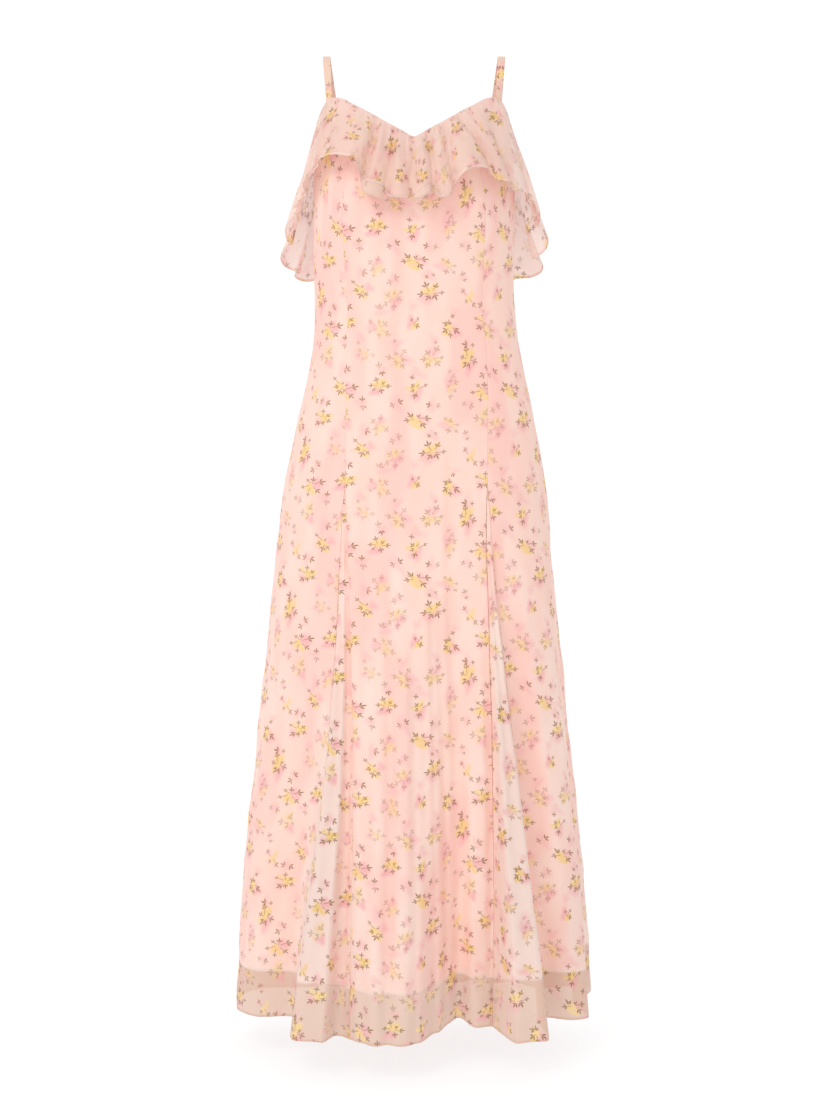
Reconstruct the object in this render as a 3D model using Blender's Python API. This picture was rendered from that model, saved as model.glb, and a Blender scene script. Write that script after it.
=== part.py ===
"""Maxi dress: thin chiffon over a lining, with a V neck, narrow straps and one flounce round the top.

Metres, +Z up. The front faces -Y. The origin is midway between the tops of the two straps, where the
wearer's shoulders hold the dress. Left and right are the wearer's, so left is +X.

Every piece is a thin wall over one surface. A place on that surface has two numbers: around, in degrees
from the centre front towards the left at the hem, and the height. Seams are lines of constant around.
"""
import bpy
import numpy as np

# Cloth
OUTER_CLOTH = 0.0012
LINING_CLOTH = 0.0010
FLOUNCE_CLOTH = 0.0010
STRAP_CLOTH = 0.0016
SEAM_GAP = 0.0003

# Lengths of the dress
HEM = -1.352
LINING_HEM = -1.289
YOKE = -0.250
GODET_TOP = -0.620
GODET_MEET = -0.600
STRAP_WIDTH = 0.0105

# Finish
CHIFFON = (0.87, 0.66, 0.57)
PINK = (0.90, 0.62, 0.54)
ROUGHNESS = 0.75

# Size of the facets round the dress, in degrees, and the least distance between two columns
FINE = 4.2
COARSE = 6.5
NEAR = 1.0
NEAR_WAVE = 0.003
SHARP_EDGE = 50.0

# Samples in two turns of the dress, and the small steps that find which way a surface faces
TWO_TURNS = 2881
NUDGE = 0.1
NUDGE_DOWN = 0.001
NUDGE_ALONG = 0.0005
NUDGE_SHARE = 0.01
TINY = 1e-6

# Shape of the bust and of the skirt's flutes
BUST_OUT = 0.007
BUST_AROUND = 38.0
BUST_SPREAD = 20.0
BUST_HEIGHT = -0.205
BUST_TALL = 0.045
FLUTE_GROWTH = 1.3


def table(columns, *rows):
    """A short table with named columns, kept as one array for each column."""
    return dict(zip(columns.split(), np.array(rows, dtype=float).T))


# The plain body of the dress, by height. A squareness of 2 is an oval. The shift is to the left.
BODY = table(
    "height half_width front back squareness shift",
    (-1.352, 0.2560, 0.150, 0.142, 2.15, 0),
    (-1.194, 0.2484, 0.145, 0.138, 2.15, 0),
    (-1.020, 0.2310, 0.136, 0.132, 2.15, 0),
    (-0.848, 0.2123, 0.126, 0.126, 2.15, 0),
    (-0.676, 0.1938, 0.116, 0.120, 2.2, 0),
    (-0.591, 0.1842, 0.110, 0.116, 2.2, 0.001),
    (-0.506, 0.1669, 0.102, 0.109, 2.2, 0.003),
    (-0.422, 0.1489, 0.093, 0.095, 2.3, 0.003),
    (-0.380, 0.1424, 0.089, 0.087, 2.3, 0.002),
    (-0.340, 0.1402, 0.090, 0.083, 2.3, 0.001),
    (-0.300, 0.1405, 0.099, 0.085, 2.35, 0),
    (-0.260, 0.1410, 0.110, 0.089, 2.4, 0),
    (-0.225, 0.1415, 0.116, 0.091, 2.4, 0),
    (-0.190, 0.1408, 0.114, 0.091, 2.4, 0),
    (-0.155, 0.1392, 0.107, 0.089, 2.5, 0),
    (-0.120, 0.1370, 0.094, 0.086, 2.6, 0),
    (-0.085, 0.1350, 0.077, 0.082, 2.8, 0),
    (-0.055, 0.1335, 0.064, 0.078, 3.0, 0),
)

# The princess seams, by height, in degrees round the body. They part at the godets.
SEAMS = table(
    "height right left",
    (-1.352, -43.5, 51.0),
    (-0.950, -40.0, 48.0),
    (-0.610, -44.0, 46.0),
    (-0.340, -52.0, 52.0),
    (-0.200, -44.0, 44.0),
    (-0.055, -44.0, 44.0),
)
GODET_RIGHT = 25.0
GODET_LEFT = 22.0
GODET_TIP = 1.6
SIDE_SEAM = 92.0

# The lines of the seams at the hem, from the centre back round to the centre back.
HEM_LINES = (
    -180.0,
    -SIDE_SEAM,
    SEAMS["right"][0] - GODET_RIGHT / 2,
    SEAMS["right"][0] + GODET_RIGHT / 2,
    SEAMS["left"][0] - GODET_LEFT / 2,
    SEAMS["left"][0] + GODET_LEFT / 2,
    SIDE_SEAM,
    180.0,
)

# The top edge, by degrees either side of the centre front: V neck, strap, armhole, strap, back neck.
TOP_EDGE = table(
    "around height",
    (0.0, -0.1235),
    (13.0, -0.1115),
    (26.0, -0.1010),
    (36.5, -0.0918),
    (46.5, -0.0825),
    (55.5, -0.0733),
    (62.5, -0.0640),
    (72.0, -0.0640),
    (75.0, -0.0880),
    (79.0, -0.1150),
    (84.0, -0.1450),
    (90.0, -0.1720),
    (97.0, -0.1950),
    (106.0, -0.2090),
    (114.0, -0.2120),
    (126.0, -0.1960),
    (138.0, -0.1960),
    (152.0, -0.2020),
    (180.0, -0.2060),
)

# The hem's folds, a row for each crest or hollow: where it is, how far it stands out at the hem, how far
# it leans to the left, how much it lifts the hem, where it starts, and how far out the lining goes there.
FOLDS = table(
    "around out lean lift start lining",
    (-163.0, -0.012, 0.000, 0.002, -0.52, -0.014),
    (-146.0, 0.034, 0.004, 0.000, -0.52, 0.018),
    (-127.0, -0.016, 0.000, 0.003, -0.55, -0.018),
    (-109.0, 0.026, -0.004, 0.000, -0.60, 0.012),
    (-92.0, 0.000, 0.000, 0.000, -0.60, -0.001),
    (-77.0, -0.018, 0.000, 0.002, -0.62, -0.020),
    (-64.0, -0.044, 0.004, 0.006, -0.64, -0.046),
    (-48.5, 0.036, -0.002, 0.000, -0.62, -0.012),
    (-42.5, 0.034, 0.006, 0.000, -0.62, -0.012),
    (-37.0, -0.002, -0.003, 0.001, -0.72, -0.014),
    (-31.0, 0.010, 0.000, 0.000, -0.72, 0.004),
    (-18.0, 0.039, 0.000, 0.000, -0.60, 0.035),
    (-8.0, 0.035, 0.000, 0.000, -0.60, 0.031),
    (2.0, 0.020, 0.000, 0.000, -0.66, 0.016),
    (12.0, -0.020, 0.000, 0.002, -0.70, -0.024),
    (25.0, -0.062, 0.003, 0.010, -0.70, -0.064),
    (34.0, -0.037, 0.000, 0.002, -0.80, -0.050),
    (39.5, -0.041, 0.004, 0.002, -0.80, -0.052),
    (45.0, 0.042, -0.004, 0.000, -0.62, -0.030),
    (52.0, 0.046, 0.006, 0.000, -0.62, -0.026),
    (63.0, -0.040, 0.002, 0.005, -0.60, -0.044),
    (79.0, 0.002, 0.000, 0.000, -0.62, -0.008),
    (92.0, -0.026, 0.000, 0.004, -0.66, -0.030),
    (103.0, 0.022, 0.000, 0.012, -0.62, 0.000),
    (119.0, -0.010, 0.000, 0.003, -0.60, -0.014),
    (138.0, 0.034, -0.003, 0.000, -0.52, 0.018),
    (159.0, -0.012, 0.000, 0.002, -0.52, -0.014),
    (180.0, 0.030, 0.000, 0.000, -0.50, 0.015),
)

# How far the lining hangs inside the outer cloth, by height.
LINING_GAP = table(
    "height gap",
    (-1.352, 0.0090),
    (-0.900, 0.0060),
    (-0.600, 0.0030),
    (-0.380, 0.0016),
    (-0.250, 0.0018),
    (-0.055, 0.0024),
)

# The flounce over the front, a row for each crest or hollow: metres along the top edge from the centre
# front, how far it hangs down, and how far its hem stands out from the bodice.
FLOUNCE_FRONT = table(
    "along drop out",
    (-0.134, 0.134, 0.014),
    (-0.118, 0.116, 0.028),
    (-0.106, 0.094, 0.018),
    (-0.091, 0.079, 0.032),
    (-0.066, 0.065, 0.040),
    (-0.056, 0.062, 0.032),
    (-0.047, 0.096, 0.012),
    (-0.036, 0.107, 0.030),
    (-0.022, 0.105, 0.016),
    (-0.008, 0.095, 0.034),
    (0.006, 0.086, 0.018),
    (0.020, 0.092, 0.034),
    (0.033, 0.091, 0.016),
    (0.044, 0.102, 0.032),
    (0.055, 0.090, 0.016),
    (0.066, 0.076, 0.038),
    (0.083, 0.082, 0.034),
    (0.095, 0.094, 0.018),
    (0.108, 0.108, 0.030),
    (0.122, 0.126, 0.014),
)

# The rest of the flounce, by distance along the top edge either way: its drop, and how far its hem stands
# out at a crest and at a hollow.
FLOUNCE_SIDE = table(
    "along drop crest hollow",
    (0.108, 0.134, 0.028, 0.014),
    (0.150, 0.130, 0.024, 0.014),
    (0.180, 0.120, 0.028, 0.018),
    (0.210, 0.108, 0.038, 0.024),
    (0.240, 0.100, 0.046, 0.028),
    (0.290, 0.098, 0.047, 0.024),
    (0.360, 0.092, 0.042, 0.020),
    (0.600, 0.085, 0.034, 0.014),
)
FLOUNCE_WAVE = 0.0205
FLOUNCE_OPENING = 0.85
FLOUNCE_ROWS = 5
FLOUNCE_SEAM = 96.0

# The middle line of the left strap over the shoulder, between its two ends on the top edge, and which
# way its width lies: outwards across the shoulder, and turned to lie along the edge at each end.
STRAP = table(
    "step x y height across ahead",
    (1, 0.1192, -0.0390, -0.0300, 0.93, 0.36),
    (2, 0.1212, -0.0230, -0.0070, 0.98, 0.15),
    (3, 0.1220, 0.0000, -0.0008, 1.00, 0.00),
    (4, 0.1215, 0.0190, -0.0085, 0.99, -0.10),
    (5, 0.1170, 0.0410, -0.0420, 0.95, -0.30),
    (6, 0.1085, 0.0620, -0.1000, 0.90, -0.45),
    (7, 0.1000, 0.0745, -0.1580, 0.83, -0.55),
)
STRAP_FRONT = 68.3
STRAP_BACK = 131.5
STRAP_STEPS = 25

# Heights of the rings that the panels share below the yoke, and rows between the top edge and the yoke.
BODICE_RINGS = (YOKE, -0.300, -0.345, -0.410, -0.480, -0.540, GODET_MEET)
SKIRT_RINGS = (GODET_TOP, -0.720, -0.830, -0.950, -1.070, -1.190, LINING_HEM, HEM)
LINING_SKIRT_RINGS = (GODET_TOP, -0.830, -1.070, LINING_HEM)
YOKE_ROWS = 4

# Places round the top edge, either side of the centre front, where it turns a corner.
CORNERS = (0.0, 62.5, 72.0, 79.0, 86.0, 97.0, 126.0, 138.0)


def curve(source, column, where):
    """A smooth line through one column of a table, read at the first column's values where."""
    at = next(iter(source.values()))
    value = source[column]
    slope = np.gradient(value, at)
    row = np.clip(np.searchsorted(at, where) - 1, 0, len(at) - 2)
    span = at[row + 1] - at[row]
    share = np.clip((where - at[row]) / span, 0, 1)
    ease = share * share * (3 - 2 * share)
    leave = share * (1 - share) ** 2 * span * slope[row]
    arrive = share * share * (1 - share) * span * slope[row + 1]
    return (1 - ease) * value[row] + ease * value[row + 1] + leave - arrive


def smooth_step(share):
    """0 to 1 with level ends, so that crests and hollows come out round."""
    share = np.clip(share, 0, 1)
    return share * share * (3 - 2 * share)


def seam_lines(height):
    """Degrees round the body of each of HEM_LINES at a height. A godet's two seams meet above its tip."""
    down = np.clip((GODET_TOP - height) / (GODET_TOP - HEM), 0, 1)
    tip = GODET_TIP * np.clip((GODET_MEET - height) / (GODET_MEET - GODET_TOP), 0, 1)
    right, left = curve(SEAMS, "right", height), curve(SEAMS, "left", height)
    right_half = (tip + (GODET_RIGHT - GODET_TIP) * down) / 2
    left_half = (tip + (GODET_LEFT - GODET_TIP) * down) / 2
    seams = (right - right_half, right + right_half, left - left_half, left + left_half)
    return (-180, -SIDE_SEAM, *seams, SIDE_SEAM, 180)


def body_angle(around, height):
    """Degrees round the body of a place on the cloth: every piece keeps between its own seams."""
    around = (around + 180) % 360 - 180
    lines = seam_lines(height)
    angle = np.full_like(around, -180.0)
    for first, last, start, end in zip(HEM_LINES, HEM_LINES[1:], lines, lines[1:]):
        angle = angle + (end - start) * np.clip((around - first) / (last - first), 0, 1)
    return angle


def hem_place(angle, height):
    """The other way round: which place of the outer cloth is at these degrees round the body."""
    angle = (angle + 180) % 360 - 180
    lines = seam_lines(height)
    around = np.full_like(angle, -180.0)
    for first, last, start, end in zip(HEM_LINES, HEM_LINES[1:], lines, lines[1:]):
        around = around + (last - first) * np.clip((angle - start) / np.maximum(end - start, TINY), 0, 1)
    return around


def body_point(angle, height):
    """A rounded oval ring: half as wide as the table says, deeper or shallower in front than behind."""
    turn = np.radians(angle)
    across, ahead = np.sin(turn), np.cos(turn)
    depth = np.where(ahead > 0, curve(BODY, "front", height), curve(BODY, "back", height))
    power = curve(BODY, "squareness", height)
    wide = np.abs(across) / curve(BODY, "half_width", height)
    deep = np.abs(ahead) / depth
    reach = (wide**power + deep**power) ** (-1 / power)
    return np.stack([reach * across + curve(BODY, "shift", height), -reach * ahead, height], axis=-1)


def fold(column, around, height):
    """How far the folds move the cloth: from row to row round the hem, growing from each one's start."""
    turn = np.concatenate([FOLDS["around"] - 360, FOLDS["around"], FOLDS["around"] + 360])
    size = np.tile(FOLDS[column], 3)
    start = np.tile(FOLDS["start"], 3)
    row = np.clip(np.searchsorted(turn, around, side="right") - 1, 0, len(turn) - 2)
    share = smooth_step((around - turn[row]) / (turn[row + 1] - turn[row]))
    here = size[row] * grown(start[row], height)
    there = size[row + 1] * grown(start[row + 1], height)
    return (1 - share) * here + share * there


def grown(start, height):
    """0 where a fold starts, 1 at the hem."""
    return np.clip((start - height) / (start - HEM), 0, 1) ** FLUTE_GROWTH


def bust(angle, height):
    """Two soft cups, from the princess seams."""
    round_it = np.exp(-(((np.abs(angle) - BUST_AROUND) / BUST_SPREAD) ** 2))
    return BUST_OUT * round_it * np.exp(-(((height - BUST_HEIGHT) / BUST_TALL) ** 2))


def cloth_point(around, height, out="out", inset=0.0):
    """A place on the dress: the body's ring, moved out and along by the bust and the folds."""
    angle = body_angle(around, height)
    place = body_point(angle, height)
    along = body_point(angle + NUDGE, height) - body_point(angle - NUDGE, height)
    along /= np.linalg.norm(along, axis=-1, keepdims=True)
    outward = np.stack([along[..., 1], -along[..., 0], 0 * height], axis=-1)
    place = place + outward * (bust(angle, height) + fold(out, around, height) - inset)[..., None]
    place = place + along * fold("lean", around, height)[..., None]
    place[..., 2] += fold("lift", around, height)
    return place


def lining_point(angle, height):
    """The lining has no godets. It hangs inside the outer cloth and fills its flutes less."""
    around = hem_place(angle, height)
    return cloth_point(around, height, "lining", OUTER_CLOTH + curve(LINING_GAP, "gap", height))


def yoke_angle(around):
    """Degrees round the bodice of a place on the outer cloth."""
    return body_angle(around, np.full_like(around, YOKE))


def top_edge(angle):
    """Height of the top edge at these degrees round the bodice."""
    from_front = np.abs((angle + 180) % 360 - 180)
    return np.interp(from_front, TOP_EDGE["around"], TOP_EDGE["height"])


def outward_normal(point, first, second, first_step, second_step):
    """The outward direction of a surface: across its change to the left and its change downwards."""
    left = point(first + first_step, second) - point(first - first_step, second)
    down = point(first, second + second_step) - point(first, second - second_step)
    normal = np.cross(down, left)
    return normal / np.linalg.norm(normal, axis=-1, keepdims=True)


def columns(first, last, corners, steps):
    """Places round a piece: its two seams, the folds and corners between them, and steps between those."""
    stops = [first]
    folds = np.concatenate([FOLDS["around"], FOLDS["around"] + 360])
    for place in sorted([*folds, *corners]):
        if stops[-1] + NEAR < place < last - NEAR:
            stops.append(place)
    stops.append(last)
    runs = []
    for start, end in zip(stops, stops[1:]):
        count = max(1, round((end - start) / steps))
        runs.append(np.linspace(start, end, count, endpoint=False))
    return np.concatenate([*runs, [last]])


def corner_places(angle_of):
    """The corners of the top edge, as places round a piece."""
    around = np.linspace(-180, 540, TWO_TURNS)
    angle = np.unwrap(angle_of(around), period=360)
    turns = {corner * side + turn for corner in CORNERS for side in (-1, 1) for turn in (0, 360)}
    return np.interp(sorted(turns), angle, around)


def draw_in(grid, distance):
    """Moves a grid's two side edges inwards, which leaves the gap at a seam."""
    for edge, inner in ((0, 1), (-1, -2)):
        step = grid[inner] - grid[edge]
        grid[edge] += distance * step / np.linalg.norm(step, axis=-1, keepdims=True)
    return grid


def wall(name, outer, inner, color):
    """One closed piece of cloth between an outer and an inner grid of points, with its four edges."""
    wide, tall = outer.shape[:2]
    number = np.arange(wide * tall).reshape(wide, tall)
    a, b, c, d = number[:-1, :-1], number[:-1, 1:], number[1:, 1:], number[1:, :-1]
    front = np.concatenate([np.stack([a, b, c], -1).reshape(-1, 3), np.stack([a, c, d], -1).reshape(-1, 3)])
    rim = np.concatenate([number[:, 0], number[-1, 1:], number[-2::-1, -1], number[0, -2:0:-1]])
    after = np.roll(rim, -1)
    back = front[:, ::-1] + wide * tall
    edge = np.stack([rim, after, after + wide * tall, rim + wide * tall], -1)
    mesh = bpy.data.meshes.new(name)
    points = np.concatenate([outer.reshape(-1, 3), inner.reshape(-1, 3)])
    mesh.from_pydata(points.tolist(), [], front.tolist() + back.tolist() + edge.tolist())
    mesh.shade_smooth()
    mesh.set_sharp_from_angle(angle=np.radians(SHARP_EDGE))
    piece = bpy.data.objects.new(name, mesh)
    material = bpy.data.materials.new(name)
    material.use_nodes = True
    shader = material.node_tree.nodes["Principled BSDF"]
    shader.inputs["Base Color"].default_value = (*color, 1)
    shader.inputs["Roughness"].default_value = ROUGHNESS
    shader.inputs["Metallic"].default_value = 0
    mesh.materials.append(material)
    collection.objects.link(piece)
    return piece


def panel(name, first, last, point, rings, thickness, color, step=FINE, angle_of=yoke_angle):
    """A piece between two seams. It starts at the top edge where its first ring is the yoke's."""
    corners = corner_places(angle_of) if rings[0] == YOKE else ()
    around = columns(first, last, corners, step)
    height = np.tile(rings, (len(around), 1))
    if rings[0] == YOKE:
        top = top_edge(angle_of(around))[:, None]
        above = top + (YOKE - top) * np.linspace(0, 1, YOKE_ROWS, endpoint=False)
        height = np.concatenate([above, height], axis=1)
    around = np.tile(around[:, None], (1, height.shape[1]))
    outer = point(around, height)
    inner = outer - thickness * outward_normal(point, around, height, NUDGE, -NUDGE_DOWN)
    shift = draw_in(outer.copy(), SEAM_GAP / 2) - outer
    return wall(name, outer + shift, inner + shift, color)


def edge_distance():
    """Metres along the top edge from the centre front, for even steps through two turns of the dress."""
    around = np.linspace(-180, 540, TWO_TURNS)
    edge = cloth_point(around, top_edge(yoke_angle(around)))
    steps = np.linalg.norm(np.diff(edge, axis=0), axis=1)
    distance = np.concatenate([[0], np.cumsum(steps)])
    return around, distance - np.interp(0, around, distance)


def flounce_rows(half):
    """Every crest and hollow of the flounce: the front's own rows, then even waves round to the back."""
    rows = [FLOUNCE_FRONT]
    for side, end in ((-1, 0), (1, -1)):
        start = abs(FLOUNCE_FRONT["along"][end])
        count = 2 * round((half - start) / FLOUNCE_WAVE / 2) + 1
        number = np.arange(1, count + (side > 0))
        along = start + (half - start) * number / count
        names = ("drop", "crest", "hollow")
        drop, crest, hollow = (np.interp(along, FLOUNCE_SIDE["along"], FLOUNCE_SIDE[name]) for name in names)
        rows.append({"along": side * along, "drop": drop, "out": np.where(number % 2 == 1, crest, hollow)})
    joined = {name: np.concatenate([part[name] for part in rows]) for name in FLOUNCE_FRONT}
    order = np.argsort(joined["along"])
    return {name: values[order] for name, values in joined.items()}


def flounce_point(along, down):
    """The flounce hangs from the top edge, outside the bodice. Its waves grow towards its hem."""
    dense_around, distance = edge_distance()
    length = np.interp(360, dense_around, distance)
    rows = flounce_rows(length / 2)
    turn = np.concatenate([rows["along"] + length * lap for lap in (-1, 0, 1)])
    drop, out = (np.tile(rows[name], 3) for name in ("drop", "out"))
    row = np.clip(np.searchsorted(turn, along, side="right") - 1, 0, len(turn) - 2)
    share = smooth_step((along - turn[row]) / (turn[row + 1] - turn[row]))
    drop = (1 - share) * drop[row] + share * drop[row + 1]
    out = (1 - share) * out[row] + share * out[row + 1]
    around = np.interp(along, distance, dense_around)
    height = top_edge(yoke_angle(around)) - drop * down
    stand = FLOUNCE_CLOTH + SEAM_GAP + out * np.clip(down, 0, 1) ** FLOUNCE_OPENING
    return cloth_point(around, height, inset=-stand)


def flounce(name, first, last):
    """One of the flounce's two lengths, from side seam to side seam."""
    dense_around, distance = edge_distance()
    length = np.interp(360, dense_around, distance)
    rows = flounce_rows(length / 2)["along"]
    start, end = np.interp((first, last), dense_around, distance)
    stops = np.concatenate([rows, rows + length])
    stops = np.concatenate([[start], stops[(stops > start + NEAR_WAVE) & (stops < end - NEAR_WAVE)], [end]])
    middles = (stops[1:] + stops[:-1]) / 2
    along = np.sort(np.concatenate([stops, middles]))
    along, down = np.meshgrid(along, np.linspace(0, 1, FLOUNCE_ROWS), indexing="ij")
    outer = flounce_point(along, down)
    inner = outer - FLOUNCE_CLOTH * outward_normal(flounce_point, along, down, NUDGE_ALONG, NUDGE_SHARE)
    shift = draw_in(outer.copy(), SEAM_GAP / 2) - outer
    return wall(name, outer + shift, inner + shift, CHIFFON)


def edge_end(angle):
    """Where a strap stands on the top edge: the middle of the cloth, and the way the edge runs there."""
    place = np.array([angle])
    height = np.interp(place, TOP_EDGE["around"], TOP_EDGE["height"])
    along = body_point(place + NUDGE, height)[0] - body_point(place - NUDGE, height)[0]
    along /= np.linalg.norm(along)
    middle = body_point(place, height)[0] + np.array([-along[1], along[0], 0]) * OUTER_CLOTH / 2
    return middle + np.array([0, 0, SEAM_GAP]), along


def strap(name, side):
    """A narrow flat strap along a smooth line over the shoulder."""
    front, front_way = edge_end(STRAP_FRONT)
    back, back_way = edge_end(STRAP_BACK)
    middle = np.stack([STRAP["x"], STRAP["y"], STRAP["height"]], axis=-1)
    way = np.stack([STRAP["across"], STRAP["ahead"], 0 * STRAP["across"]], axis=-1)
    last = len(STRAP["step"]) + 1
    line = {"step": np.concatenate([[0], STRAP["step"], [last]])}
    for axis, values, ends in (("xyz", middle, (front, back)), ("uvw", way, (front_way, -back_way))):
        for number, letter in enumerate(axis):
            line[letter] = np.concatenate([[ends[0][number]], values[:, number], [ends[1][number]]])
    at = np.linspace(0, last, STRAP_STEPS)
    path = np.stack([curve(line, letter, at) for letter in "xyz"], axis=-1)
    across = np.stack([curve(line, letter, at) for letter in "uvw"], axis=-1)
    ahead = np.gradient(path, axis=0)
    ahead[[0, -1], :2] = 0
    ahead /= np.linalg.norm(ahead, axis=-1, keepdims=True)
    across -= ahead * np.sum(across * ahead, axis=-1, keepdims=True)
    across /= np.linalg.norm(across, axis=-1, keepdims=True)
    outward = np.cross(across, ahead)
    widths = np.array([0.5, 0, -0.5])[:, None, None] * STRAP_WIDTH
    outer = path + across * widths + outward * STRAP_CLOTH / 2
    inner = path + across * widths - outward * STRAP_CLOTH / 2
    if side < 0:
        outer, inner = ((grid * [-1, 1, 1])[::-1] for grid in (outer, inner))
    return wall(name, outer, inner, CHIFFON)


def build():
    """Every sewn piece of the dress."""
    full = (*BODICE_RINGS, *SKIRT_RINGS)
    lining_full = (*BODICE_RINGS, *LINING_SKIRT_RINGS)
    right_side, right_front, left_front, left_side = HEM_LINES[2:6]
    panel("front_panel", right_front, left_front, cloth_point, full, OUTER_CLOTH, CHIFFON)
    panel("side_front_right", -SIDE_SEAM, right_side, cloth_point, full, OUTER_CLOTH, CHIFFON)
    panel("side_front_left", left_side, SIDE_SEAM, cloth_point, full, OUTER_CLOTH, CHIFFON)
    panel("godet_right", right_side, right_front, cloth_point, SKIRT_RINGS, OUTER_CLOTH, CHIFFON)
    panel("godet_left", left_front, left_side, cloth_point, SKIRT_RINGS, OUTER_CLOTH, CHIFFON)
    panel("back_left", SIDE_SEAM, 180, cloth_point, full, OUTER_CLOTH, CHIFFON)
    panel("back_right", 180, 360 - SIDE_SEAM, cloth_point, full, OUTER_CLOTH, CHIFFON)
    lining = (lining_point, lining_full, LINING_CLOTH, PINK, COARSE, np.positive)
    panel("lining_front", -SIDE_SEAM, SIDE_SEAM, *lining)
    panel("lining_back", SIDE_SEAM, 360 - SIDE_SEAM, *lining)
    flounce("flounce_front", -FLOUNCE_SEAM, FLOUNCE_SEAM)
    flounce("flounce_back", FLOUNCE_SEAM, 360 - FLOUNCE_SEAM)
    strap("strap_right", -1)
    strap("strap_left", 1)


for old in list(bpy.data.objects):
    bpy.data.objects.remove(old, do_unlink=True)
collection = bpy.data.collections.new("maxi_dress")
bpy.context.scene.collection.children.link(collection)
build()
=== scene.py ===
# %% [markdown]
# # A printed chiffon maxi dress
# Thin printed chiffon over a plain pink lining, with a narrow strap over each shoulder and one flounce
# round the whole top edge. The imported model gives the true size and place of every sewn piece. This
# script lays finer cloth on the same lines, and gives it its print, seams and hems.

import bpy
import numpy as np
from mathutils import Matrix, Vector


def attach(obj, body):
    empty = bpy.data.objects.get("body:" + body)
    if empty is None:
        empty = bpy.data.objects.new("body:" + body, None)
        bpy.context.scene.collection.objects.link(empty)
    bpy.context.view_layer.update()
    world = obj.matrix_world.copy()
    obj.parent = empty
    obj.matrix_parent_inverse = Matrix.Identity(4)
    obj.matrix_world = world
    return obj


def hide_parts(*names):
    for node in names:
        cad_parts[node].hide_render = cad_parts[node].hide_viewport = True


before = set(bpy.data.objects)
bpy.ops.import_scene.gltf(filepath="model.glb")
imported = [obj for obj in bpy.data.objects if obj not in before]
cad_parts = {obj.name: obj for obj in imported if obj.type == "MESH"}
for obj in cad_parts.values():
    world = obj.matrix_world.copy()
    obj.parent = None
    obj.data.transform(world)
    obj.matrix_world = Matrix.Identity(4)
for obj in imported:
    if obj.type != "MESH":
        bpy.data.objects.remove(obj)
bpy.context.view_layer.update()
print("pieces in the model:", ", ".join(sorted(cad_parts)))

# %% [markdown]
# ## Camera
# The photograph is upright, taken from 3 m in front, a little above the hip, and tilted slightly down.
# A long lens is right for clothes, because it keeps the hem and the shoulders at the same scale.

# %% Camera
CAMERA_PLACE = (0.0, -3.0, -0.4906)
CAMERA_TILT = 3.869
LENS = 69.05
SENSOR = 36.0


def put_in(name, data):
    """Puts a new object with this data in the scene."""
    thing = bpy.data.objects.new(name, data)
    bpy.context.scene.collection.objects.link(thing)
    return thing


camera_data = bpy.data.cameras.new("camera")
camera_data.lens = LENS
camera_data.sensor_width = SENSOR
camera = put_in("camera", camera_data)
camera.location = CAMERA_PLACE
camera.rotation_euler = (np.radians(90 - CAMERA_TILT), 0, 0)
bpy.context.scene.camera = camera
print("lens", LENS, "mm, tilted down", CAMERA_TILT, "degrees")

# %% [markdown]
# ## The cut of the dress
# A dressmaker's pattern is a few measurements at named heights, with lines drawn smoothly through them.
# The tables below are those measurements. Heights are metres from the tops of the straps. Places round
# the dress are degrees from the centre front, towards the wearer's left.

# %% A smooth line through a table
def table(text):
    """A short table, kept as one array for each column: its first line names them."""
    names, *rows = (line.split() for line in text.strip().splitlines())
    return dict(zip(names, np.array(rows, dtype=float).T))


def curve(source, column, where):
    """A smooth line through one column, read where the first column has these values.

    Between two rows it eases from one value to the other, and leaves and arrives with the slope
    that the rows on either side give.
    """
    at = next(iter(source.values()))
    value = source[column]
    slope = np.gradient(value, at)
    row = np.clip(np.searchsorted(at, where) - 1, 0, len(at) - 2)
    span = at[row + 1] - at[row]
    share = np.clip((where - at[row]) / span, 0, 1)
    ease = share * share * (3 - 2 * share)
    leave = share * (1 - share) ** 2 * span * slope[row]
    arrive = share * share * (1 - share) * span * slope[row + 1]
    return (1 - ease) * value[row] + ease * value[row + 1] + leave - arrive


def smooth_step(share):
    """0 to 1 with level ends: three times the square less twice the cube."""
    share = np.clip(share, 0, 1)
    return share * share * (3 - 2 * share)


def rows(source):
    """The rows of a table, one after another."""
    return np.column_stack(list(source.values()))


def unit(vectors):
    """The same directions, one long."""
    return vectors / np.maximum(np.linalg.norm(vectors, axis=-1, keepdims=True), TINY)


def walked(points):
    """Metres walked from the first point: the steps added up one after another."""
    steps = np.linalg.norm(np.diff(points, axis=0), axis=-1)
    return np.concatenate([np.zeros_like(steps[:1]), np.cumsum(steps, axis=0)])


def wrapped(value, turn=360):
    """The same place, from half a turn one way to half a turn the other."""
    return (value + turn / 2) % turn - turn / 2


# %% Measurements of the body of the dress
OUTER_CLOTH = 0.0012
HEM = -1.352
LINING_HEM = -1.289
YOKE = -0.250
GODET_TOP = -0.620
GODET_MEET = -0.600
GODET_RIGHT = 25.0
GODET_LEFT = 22.0
GODET_TIP = 1.6
SIDE_SEAM = 92.0
EDGE_SOFT = 2.6
FLUTE_GROWTH = 1.3
BUST_OUT = 0.007
BUST_AROUND = 38.0
BUST_SPREAD = 20.0
BUST_HEIGHT = -0.205
BUST_TALL = 0.045
NUDGE = 0.1
TINY = 1e-6

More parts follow.
